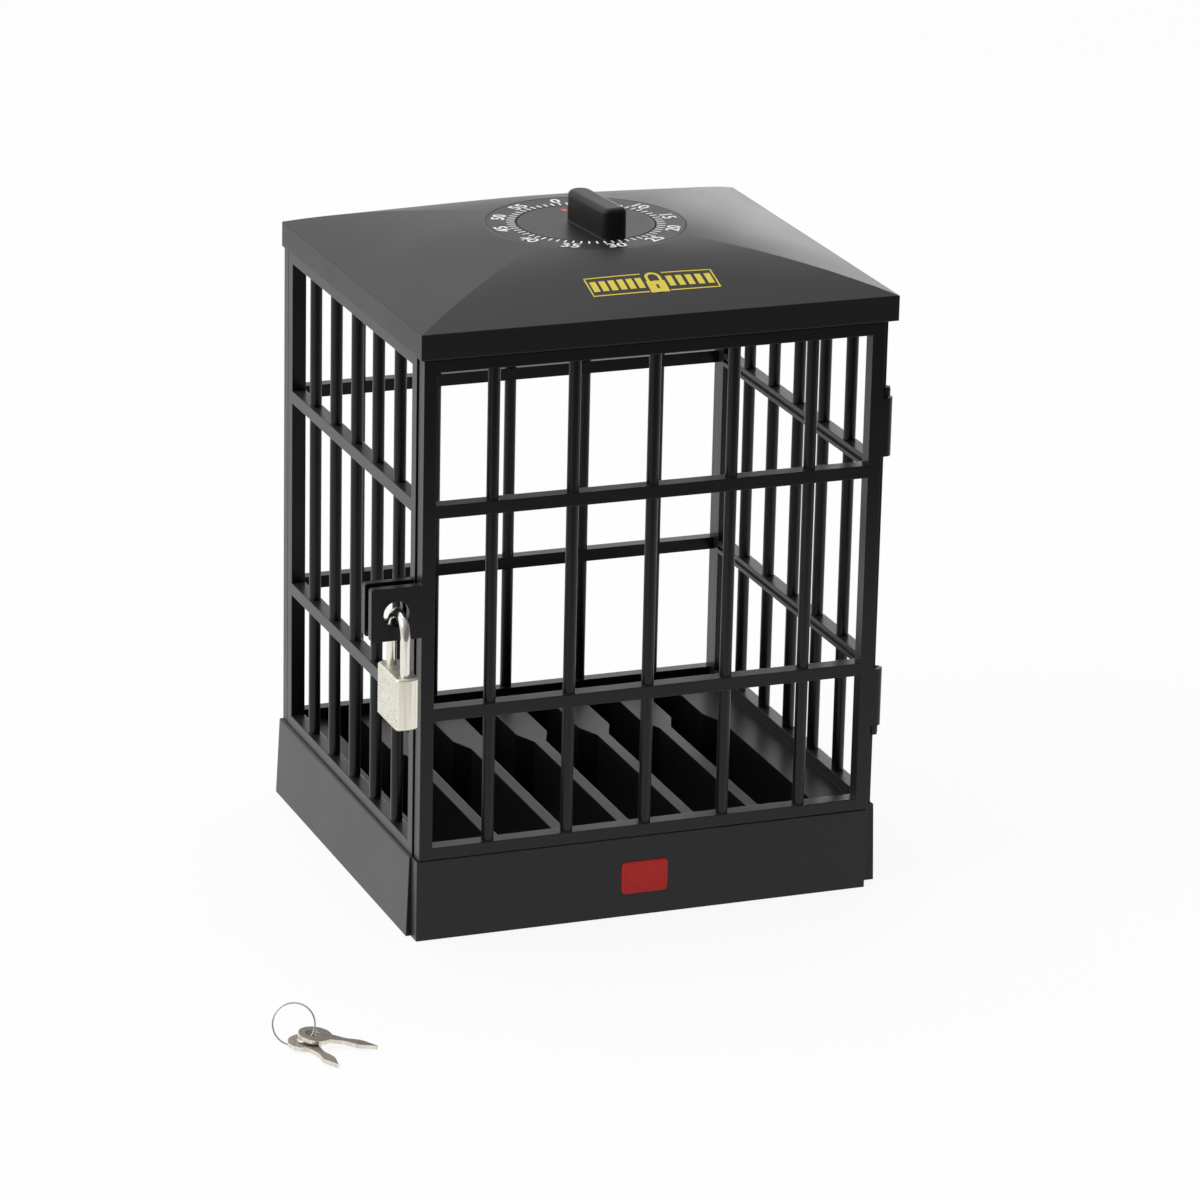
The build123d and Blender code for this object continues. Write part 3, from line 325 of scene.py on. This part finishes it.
# Materials
def moulded_plastic(name, level, roughness, ior, bloom, edge=PLASTIC_EDGE):
    """Black moulded plastic: fine spark texture, a dusty bloom, edges rubbed paler."""
    material, tree, shader = start_material(name)
    place = object_place(tree)
    normal, worn = soft_edges(tree, edge)
    patch = noise(tree, place, PATCH_SCALE)
    scuff = noise(tree, place, SCUFF_SCALE, SCUFF_DETAIL)
    rubbed = calculate(tree, "MULTIPLY", worn, scuff)
    plain = blend_colours(tree, patch, grey(level * PATCH_DARK), grey(level * PATCH_PALE))
    body = blend_colours(tree, rubbed, plain, grey(level * SCUFF_PALE))
    tree.links.new(body, shader.inputs["Base Color"])
    uneven = spread(tree, patch, roughness - PLASTIC_UNEVENNESS, roughness + PLASTIC_UNEVENNESS)
    tree.links.new(uneven, shader.inputs["Roughness"])
    fine = noise(tree, place, PLASTIC_GRAIN, PLASTIC_GRAIN_DETAIL)
    add_bump(tree, shader, PLASTIC_BUMP, PLASTIC_BUMP_DEPTH, fine, normal)
    shader.inputs["IOR"].default_value = ior
    shader.inputs["Sheen Weight"].default_value = bloom
    shader.inputs["Sheen Roughness"].default_value = BLOOM_ROUGHNESS
    return material


def plated_metal(name, colour, dull, roughness, stretch=(1, 1, 0.06)):
    """Plated metal: drawn grain along one axis, dull patches, brighter edges."""
    material, tree, shader = start_material(name)
    place = object_place(tree)
    normal, worn = soft_edges(tree, PLATED_EDGE)
    lines = noise(tree, stretched(tree, place, stretch), DRAWN_GRAIN)
    patches = noise(tree, place, DULL_SCALE, DULL_DETAIL)
    dulled = spread(tree, patches, 0.0, 1.0, DULL_START, DULL_END)
    plain = blend_colours(tree, dulled, opaque(colour), opaque(dull))
    body = blend_colours(tree, worn, plain, opaque(colour, PLATED_EDGE_PALE))
    tree.links.new(body, shader.inputs["Base Color"])
    uneven = spread(tree, lines, roughness - PLATED_UNEVENNESS, roughness + PLATED_UNEVENNESS)
    tree.links.new(uneven, shader.inputs["Roughness"])
    add_bump(tree, shader, PLATED_BUMP, PLATED_BUMP_DEPTH, lines, normal)
    shader.inputs["Metallic"].default_value = 1.0
    return material


def two_finish_metal(name, broad, speck, side, line, axis, sides_face_axis, edge, grit_scale):
    """Plated metal with speckled broad faces and brushed narrow sides, told apart by where they face; on
    the keys the tone gap between faces and sides is painted light.
    """
    material, tree, shader = start_material(name)
    coords = node(tree, "ShaderNodeTexCoord").outputs
    place = coords["Object"]
    normal, worn = soft_edges(tree, edge)
    facing = axis_facing(tree, coords["Normal"], axis)
    grit = noise(tree, place, grit_scale, GRIT_DETAIL)
    specks = spread(tree, grit, 0.0, 1.0, SPECK_START, SPECK_END)
    blasted = blend_colours(tree, specks, opaque(broad), opaque(speck))
    lines = noise(tree, stretched(tree, place, BRUSH_STRETCH), BRUSH_SCALE, BRUSH_DETAIL)
    strokes = spread(tree, lines, 0.0, 1.0, BRUSH_START, BRUSH_END)
    brushed = blend_colours(tree, strokes, opaque(side), opaque(line))
    finishes = [(blasted, BLASTED_ROUGHNESS), (brushed, BRUSHED_ROUGHNESS)]
    if not sides_face_axis:
        finishes.reverse()
    (across, across_roughness), (along, along_roughness) = finishes
    plain = blend_colours(tree, facing, across, along)
    body = blend_colours(tree, worn, plain, opaque(side, SIDE_EDGE_PALE))
    tree.links.new(body, shader.inputs["Base Color"])
    roughness = spread(tree, facing, across_roughness, along_roughness, 0.0, 1.0)
    tree.links.new(roughness, shader.inputs["Roughness"])
    add_bump(tree, shader, GRIT_BUMP, GRIT_BUMP_DEPTH, grit, normal)
    shader.inputs["Metallic"].default_value = 1.0
    return material


def printed_ink(name, colour, thin):
    """Pad-printed ink: a little uneven in cover, slightly raised."""
    material, tree, shader = start_material(name)
    cover = noise(tree, object_place(tree), COVER_SCALE, COVER_DETAIL)
    uneven = spread(tree, cover, 0.0, 1.0, THIN_START, THIN_END)
    body = blend_colours(tree, uneven, opaque(colour), opaque(thin))
    tree.links.new(body, shader.inputs["Base Color"])
    tree.links.new(spread(tree, cover, INK_SMOOTH, INK_ROUGH), shader.inputs["Roughness"])
    add_bump(tree, shader, INK_BUMP, INK_BUMP_DEPTH, cover)
    return material


def enamel(name, colour, deep):
    """Satin coloured enamel with a soft edge and slight orange peel."""
    material, tree, shader = start_material(name)
    place = object_place(tree)
    normal, worn = soft_edges(tree, ENAMEL_EDGE)
    cloud = noise(tree, place, CLOUD_SCALE, CLOUD_DETAIL)
    plain = blend_colours(tree, cloud, opaque(colour), opaque(deep))
    body = blend_colours(tree, worn, plain, opaque(colour, ENAMEL_EDGE_PALE, ENAMEL_EDGE_LIFT))
    tree.links.new(body, shader.inputs["Base Color"])
    tree.links.new(spread(tree, cloud, ENAMEL_SMOOTH, ENAMEL_ROUGH), shader.inputs["Roughness"])
    peel = noise(tree, place, PEEL_SCALE, PEEL_DETAIL)
    add_bump(tree, shader, PEEL_BUMP, PEEL_BUMP_DEPTH, peel, normal)
    shader.inputs["IOR"].default_value = ENAMEL_IOR
    return material


# Each finish is named by its material: colours are linear, and stretch runs along X, Y and Z
PLASTICS = {
    "cage_plastic": {"level": 0.003, "roughness": 0.32, "ior": 1.38, "bloom": 0.25},
    "base_plastic": {"level": 0.006, "roughness": 0.36, "ior": 1.39, "bloom": 0.25},
    "tray_plastic": {"level": 0.003, "roughness": 0.38, "ior": 1.38, "bloom": 0.06},
    "roof_plastic": {"level": 0.008, "roughness": 0.4, "ior": 1.375, "bloom": 0.15, "edge": 0.6 * MM},
    "dial_plastic": {"level": 0.011, "roughness": 0.4, "ior": 1.35, "bloom": 0.04},
    "knob_plastic": {"level": 0.006, "roughness": 0.38, "ior": 1.35, "bloom": 0.02, "edge": 0.7 * MM},
}
PLATED = {
    "blackened_steel": {"colour": (0.03, 0.03, 0.032), "dull": (0.02, 0.02, 0.02), "roughness": 0.4},
    "fixing_steel": {"colour": (0.6, 0.6, 0.61), "dull": (0.42, 0.42, 0.42), "roughness": 0.32},
    "movement_steel": {"colour": (0.55, 0.55, 0.56), "dull": (0.4, 0.39, 0.38), "roughness": 0.36,
                       "stretch": (0.06, 1, 1)},
    "wheel_brass": {"colour": (0.72, 0.53, 0.24), "dull": (0.5, 0.36, 0.16), "roughness": 0.3,
                    "stretch": (1, 0.1, 1)},
    "bell_steel": {"colour": (0.7, 0.7, 0.71), "dull": (0.55, 0.55, 0.55), "roughness": 0.2,
                   "stretch": (1, 1, 1)},
    "shackle_steel": {"colour": (0.82, 0.79, 0.72), "dull": (0.76, 0.73, 0.65), "roughness": 0.16,
                      "stretch": (1, 1, 0.1)},
    "lock_inner": {"colour": (0.7, 0.55, 0.28), "dull": (0.5, 0.38, 0.18), "roughness": 0.32},
    "ring_wire": {"colour": (0.58, 0.56, 0.53), "dull": (0.42, 0.4, 0.37), "roughness": 0.22,
                  "stretch": (1, 1, 1)},
}
TWO_FINISHES = {
    "lock_metal": {"broad": (0.86, 0.84, 0.75), "speck": (0.5, 0.46, 0.37),
                   "side": (0.92, 0.89, 0.78), "line": (0.74, 0.7, 0.58),
                   "axis": "Y", "sides_face_axis": True, "edge": 0.5 * MM, "grit_scale": 2300},
    # Keys: the pale narrow sides are a painted highlight on the rims, and the much darker broad faces
    # are painted shade.
    "key_metal": {"broad": (0.47, 0.43, 0.38), "speck": (0.28, 0.25, 0.22),
                  "side": (0.82, 0.79, 0.71), "line": (0.62, 0.58, 0.5),
                  "axis": "Z", "sides_face_axis": False, "edge": 0.15 * MM, "grit_scale": 3000},
}
INKS = {
    "white_ink": {"colour": (0.93, 0.94, 0.93), "thin": (0.75, 0.76, 0.76)},
    "yellow_ink": {"colour": (0.74, 0.59, 0.03), "thin": (0.6, 0.47, 0.03)},
    "red_ink": {"colour": (0.62, 0.06, 0.05), "thin": (0.45, 0.05, 0.04)},
}
ENAMELS = {"red_enamel": {"colour": (0.62, 0.014, 0.01), "deep": (0.54, 0.012, 0.008)}}
FINISHES = (
    (moulded_plastic, PLASTICS),
    (plated_metal, PLATED),
    (two_finish_metal, TWO_FINISHES),
    (printed_ink, INKS),
    (enamel, ENAMELS),
)
MATERIALS = {name: make(name, **values) for make, group in FINISHES for name, values in group.items()}
OWN_FINISH = {
    "hinge_pin_upper": "blackened_steel",
    "hinge_pin_lower": "blackened_steel",
    "key_ring": "ring_wire",
}


def dress_cad_nodes():
    """Gives each node of the model the material of its slot, or a finish of its own."""
    for part in frame["record"]["subparts"]:
        piece = frame["nodes"][part["node"]]
        material = MATERIALS[OWN_FINISH.get(part["node"], part["material_slot"])]
        for place in piece.material_slots:
            place.material = material
        if not piece.material_slots:
            piece.data.materials.append(material)


# Pieces
def add_piece(name, mesh, material, body):
    piece = bpy.data.objects.new(name, mesh)
    bpy.context.scene.collection.objects.link(piece)
    mesh.materials.append(MATERIALS[material])
    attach(piece, body)


def mesh_from(shape, name):
    mesh = bpy.data.meshes.new(name)
    bmesh.ops.recalc_face_normals(shape, faces=shape.faces)
    shape.to_mesh(mesh)
    shape.free()
    return mesh


def add_slab(shape, outline, matrix):
    """A thin closed slab with this flat outline, from just under the surface to just above it."""
    foot = [shape.verts.new(matrix @ Vector((x, y, -PRINT_LIFT))) for x, y in outline]
    head = [shape.verts.new(matrix @ Vector((x, y, PRINT_LIFT))) for x, y in outline]
    shape.faces.new(head)
    shape.faces.new(list(reversed(foot)))
    count = len(outline)
    for i in range(count):
        j = (i + 1) % count
        shape.faces.new((foot[i], foot[j], head[j], head[i]))


def rounded_outline(width, height, corner, steps):
    points = []
    for turn, side_x, side_y in ((0, 1, 1), (90, -1, 1), (180, -1, -1), (270, 1, -1)):
        middle_x = side_x * (width / 2 - corner)
        middle_y = side_y * (height / 2 - corner)
        for i in range(steps + 1):
            angle = math.radians(turn + 90 * i / steps)
            points.append((middle_x + corner * math.cos(angle), middle_y + corner * math.sin(angle)))
    return points


def dial_top():
    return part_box("dial_ring")[1][2]


def number_mesh(text):
    """One flat number, with its top towards +Y."""
    curve = bpy.data.curves.new("number", "FONT")
    curve.body = text
    curve.size = 1.0
    curve.offset = NUMBER_BOLD
    curve.resolution_u = NUMBER_CURVE_STEPS
    holder = bpy.data.objects.new("number", curve)
    bpy.context.scene.collection.objects.link(holder)
    bpy.context.view_layer.update()
    mesh = bpy.data.meshes.new_from_object(holder)
    bpy.data.objects.remove(holder)
    bpy.data.curves.remove(curve)
    return mesh


def fitted(mesh):
    """The matrix that brings a flat number to the origin and to its printed height."""
    xs = [v.co.x for v in mesh.vertices]
    ys = [v.co.y for v in mesh.vertices]
    size = NUMBER_HEIGHT / (max(ys) - min(ys))
    middle = Vector(((max(xs) + min(xs)) / 2, (max(ys) + min(ys)) / 2, 0))
    return Matrix.Diagonal((size * NUMBER_WIDEN, size, 1, 1)) @ Matrix.Translation(-middle)


def dial_numbers():
    """Numbers 0 to 55 on the ring: the back ones stand outwards, the front ones inwards."""
    shape = bmesh.new()
    top = dial_top()
    for minute in range(0, MINUTES, NUMBER_STEP):
        turn = math.radians(-360 * minute / MINUTES)
        flip = math.pi if FIRST_FLIPPED <= minute <= LAST_FLIPPED else 0
        mesh = number_mesh(str(minute))
        out = Matrix.Translation((0, NUMBER_RADIUS, top + PRINT_LIFT))
        place = Matrix.Rotation(turn, 4, "Z") @ out
        mesh.transform(place @ Matrix.Rotation(flip, 4, "Z") @ fitted(mesh))
        shape.from_mesh(mesh)
        bpy.data.meshes.remove(mesh)
    bmesh.ops.remove_doubles(shape, verts=shape.verts, dist=MERGE_DISTANCE)
    bmesh.ops.solidify(shape, geom=shape.faces, thickness=2 * PRINT_LIFT)
    return mesh_from(shape, "dial_numbers")


def minute_ticks():
    shape = bmesh.new()
    length = TICK_OUTER - TICK_INNER
    outline = rounded_outline(TICK_WIDTH, length, TICK_CORNER, TICK_CORNER_STEPS)
    for minute in range(MINUTES):
        turn = Matrix.Rotation(-2 * math.pi * minute / MINUTES, 4, "Z")
        place = turn @ Matrix.Translation((0, TICK_INNER + length / 2, dial_top()))
        add_slab(shape, outline, place)
    return mesh_from(shape, "minute_ticks")


def knob_pointer():
    """A short red mark on the disc, pointing away from the grip."""
    shape = bmesh.new()
    length = POINTER_OUTER - POINTER_INNER
    turn = Matrix.Rotation(math.radians(POINTER_ANGLE - 90), 4, "Z")
    place = turn @ Matrix.Translation((0, POINTER_INNER + length / 2, dial_top()))
    outline = rounded_outline(POINTER_WIDTH, length, POINTER_CORNER, POINTER_CORNER_STEPS)
    add_slab(shape, outline, place)
    return mesh_from(shape, "knob_pointer")


def roof_sign():
    """A plain sign laid on the curved front slope: an outline, two rows of bars and a padlock symbol."""
    roof = frame["nodes"]["roof_shell"]
    tree = BVHTree.FromObject(roof, bpy.context.evaluated_depsgraph_get())
    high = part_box("roof_shell")[1][2] + ABOVE_ROOF
    down = Vector((0, 0, -1))
    shape = bmesh.new()

    def on_roof(x, y):
        """A new point just above the roof, at this place in the sign's plan."""
        start = Vector((SIGN_MIDDLE_X + x, SIGN_MIDDLE_Y + y, high))
        spot, normal = tree.ray_cast(start, down)[:2]
        return shape.verts.new(spot + normal * PRINT_LIFT)

    def strip(x0, x1, y0, y1):
        """A rectangle cut into short lengths along X and Y, so that it follows the slope."""
        columns = max(1, math.ceil((x1 - x0) / SIGN_STEP))
        rows = max(1, math.ceil((y1 - y0) / SIGN_STEP))
        grid = []
        for i in range(columns + 1):
            x = x0 + (x1 - x0) * i / columns
            grid.append([on_roof(x, y0 + (y1 - y0) * j / rows) for j in range(rows + 1)])
        for i in range(columns):
            for j in range(rows):
                shape.faces.new((grid[i][j], grid[i + 1][j], grid[i + 1][j + 1], grid[i][j + 1]))

    def bars(count, start, end):
        for i in range(count):
            left = start + (end - start - SIGN_BAR_WIDTH) * i / (count - 1)
            strip(left, left + SIGN_BAR_WIDTH, -SIGN_BAR_DEPTH / 2, SIGN_BAR_DEPTH / 2)

    def bow(middle_y):
        """The half ring of the symbol's shackle."""
        reaches = (BOW_RADIUS - BOW_LINE / 2, BOW_RADIUS + BOW_LINE / 2)
        rows = []
        for i in range(BOW_STEPS + 1):
            angle = math.pi * i / BOW_STEPS
            across, up = math.cos(angle), math.sin(angle)
            rows.append([on_roof(SYMBOL_X + r * across, middle_y + r * up) for r in reaches])
        for first, second in zip(rows, rows[1:]):
            shape.faces.new((first[0], first[1], second[1], second[0]))

    half_x = SIGN_WIDTH / 2
    half_y = SIGN_DEPTH / 2
    symbol_left = SYMBOL_X - SYMBOL_WIDTH / 2
    symbol_right = SYMBOL_X + SYMBOL_WIDTH / 2
    for side in (-1, 1):
        edge_y = side * (half_y - SIGN_LINE / 2)
        strip(-half_x, symbol_left - SIGN_LINE, edge_y - SIGN_LINE / 2, edge_y + SIGN_LINE / 2)
        strip(symbol_right + SIGN_LINE, half_x, edge_y - SIGN_LINE / 2, edge_y + SIGN_LINE / 2)
        edge_x = side * (half_x - SIGN_LINE / 2)
        strip(edge_x - SIGN_LINE / 2, edge_x + SIGN_LINE / 2, -half_y + SIGN_LINE, half_y - SIGN_LINE)
    bars(LEFT_BAR_COUNT, LEFT_BARS_START, LEFT_BARS_END)
    bars(RIGHT_BAR_COUNT, RIGHT_BARS_START, RIGHT_BARS_END)
    hole_left = SYMBOL_X - KEYHOLE_WIDTH / 2
    hole_right = SYMBOL_X + KEYHOLE_WIDTH / 2
    hole_head = (SYMBOL_FOOT + SYMBOL_HEAD + KEYHOLE_DEPTH) / 2
    strip(symbol_left, hole_left, SYMBOL_FOOT, SYMBOL_HEAD)
    strip(hole_right, symbol_right, SYMBOL_FOOT, SYMBOL_HEAD)
    strip(hole_left, hole_right, SYMBOL_FOOT, hole_head - KEYHOLE_DEPTH)
    strip(hole_left, hole_right, hole_head, SYMBOL_HEAD)
    for side in (-1, 1):
        leg = SYMBOL_X + side * BOW_RADIUS
        strip(leg - BOW_LINE / 2, leg + BOW_LINE / 2, SYMBOL_HEAD, SYMBOL_HEAD + BOW_LEG)
    bow(SYMBOL_HEAD + BOW_LEG)
    bmesh.ops.remove_doubles(shape, verts=shape.verts, dist=MERGE_DISTANCE)
    bmesh.ops.recalc_face_normals(shape, faces=shape.faces)
    bmesh.ops.solidify(shape, geom=shape.faces, thickness=2 * PRINT_LIFT)
    return mesh_from(shape, "roof_sign")


def base_plate():
    """A plain enamelled plate with rounded corners and a sloped rim."""
    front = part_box("base_front_plate")[0][1]
    shape = bmesh.new()
    rings = []
    for inset, out in ((0, 0), (0, PLATE_THICKNESS - PLATE_EDGE), (PLATE_EDGE, PLATE_THICKNESS)):
        width = PLATE_WIDTH - 2 * inset
        height = PLATE_HEIGHT - 2 * inset
        outline = rounded_outline(width, height, PLATE_CORNER - inset, PLATE_CORNER_STEPS)
        places = [(PLATE_MIDDLE_X + x, front - out, PLATE_MIDDLE_Z + z) for x, z in outline]
        rings.append([shape.verts.new(place) for place in places])
    for inner, outer in zip(rings, rings[1:]):
        for i in range(len(inner)):
            j = (i + 1) % len(inner)
            shape.faces.new((inner[i], inner[j], outer[j], outer[i]))
    shape.faces.new(rings[-1])
    shape.faces.new(list(reversed(rings[0])))
    return mesh_from(shape, "base_plate")


# Stage, light and camera
def floor():
    """A sheet of white paper that ends a little way in front of the box."""
    material = bpy.data.materials.new("floor")
    material.use_nodes = True
    tree = material.node_tree
    tree.nodes.remove(tree.nodes["Principled BSDF"])
    shaded = node(tree, "ShaderNodeBsdfDiffuse", {"Color": FLOOR_COLOUR})
    white = node(tree, "ShaderNodeEmission", {"Color": WHITE, "Strength": 1.0})
    rays = node(tree, "ShaderNodeLightPath").outputs
    bounced = calculate(tree, "MAXIMUM", rays["Is Glossy Ray"], rays["Is Transmission Ray"])
    seen = calculate(tree, "MAXIMUM", rays["Is Camera Ray"], bounced)
    share = calculate(tree, "MULTIPLY", seen, FLOOR_WHITE_SHARE)
    mixed = node(tree, "ShaderNodeMixShader", {0: share, 1: shaded.outputs[0], 2: white.outputs[0]})
    tree.links.new(mixed.outputs[0], tree.nodes["Material Output"].inputs["Surface"])
    shape = bmesh.new()
    bmesh.ops.create_grid(shape, x_segments=FLOOR_CELLS, y_segments=FLOOR_CELLS, size=FLOOR_HALF)
    bmesh.ops.translate(shape, vec=(0, FLOOR_FRONT + FLOOR_HALF, 0), verts=shape.verts)
    mesh = bpy.data.meshes.new("floor")
    shape.to_mesh(mesh)
    shape.free()
    mesh.materials.append(material)
    sheet = bpy.data.objects.new("floor", mesh)
    sheet.location.z = -FLOOR_DROP
    bpy.context.scene.collection.objects.link(sheet)


def world():
    """A soft tent that is brightest above, behind and on the left, and dim in front; white in view."""
    made = bpy.data.worlds.new("studio")
    made.use_nodes = True
    tree = made.node_tree
    fill = tree.nodes["Background"]
    fill.inputs["Color"].default_value = WHITE
    where = node(tree, "ShaderNodeTexCoord").outputs["Generated"]
    toward = likeness(tree, where, BRIGHT_SIDE)
    strength = spread(tree, toward, DARK_FILL, BRIGHT_FILL, DARK_LIKENESS, BRIGHT_LIKENESS)
    tree.links.new(strength, fill.inputs["Strength"])
    white = node(tree, "ShaderNodeBackground", {"Color": WHITE, "Strength": 1.0})
    seen = node(tree, "ShaderNodeLightPath").outputs["Is Camera Ray"]
    mixed = node(tree, "ShaderNodeMixShader", {0: seen, 1: fill.outputs[0], 2: white.outputs[0]})
    tree.links.new(mixed.outputs[0], tree.nodes["World Output"].inputs["Surface"])
    bpy.context.scene.world = made


def area_light(name, place, size, power):
    lamp = bpy.data.lights.new(name, "AREA")
    lamp.shape = "DISK"
    lamp.size = size
    lamp.energy = power
    holder = bpy.data.objects.new(name, lamp)
    holder.location = place
    holder.visible_camera = False
    holder.rotation_euler = (Vector(LAMP_AIM) - Vector(place)).to_track_quat("-Z", "Y").to_euler()
    bpy.context.scene.collection.objects.link(holder)


def camera():
    lens = bpy.data.cameras.new("camera")
    lens.sensor_fit = "HORIZONTAL"
    lens.sensor_width = SENSOR_WIDTH
    lens.lens = CAMERA_LENS
    holder = bpy.data.objects.new("camera", lens)
    turn = Matrix.Rotation(math.radians(CAMERA_AZIMUTH), 4, "Z")
    tilt = Matrix.Rotation(math.radians(90 - CAMERA_ELEVATION), 4, "X")
    roll = Matrix.Rotation(math.radians(CAMERA_ROLL), 4, "Z")
    holder.matrix_world = Matrix.Translation(CAMERA_PLACE) @ turn @ tilt @ roll
    bpy.context.scene.collection.objects.link(holder)
    bpy.context.scene.camera = holder


dress_cad_nodes()
add_piece("dial_numbers", dial_numbers(), "white_ink", "box")
add_piece("minute_ticks", minute_ticks(), "white_ink", "box")
add_piece("knob_pointer", knob_pointer(), "red_ink", "timer")
add_piece("roof_sign", roof_sign(), "yellow_ink", "box")
add_piece("base_plate", base_plate(), "red_enamel", "box")
floor()
world()
for lamp_name, lamp_values in LAMPS.items():
    area_light(lamp_name, **lamp_values)
camera()
bpy.context.scene.view_settings.view_transform = "Standard"
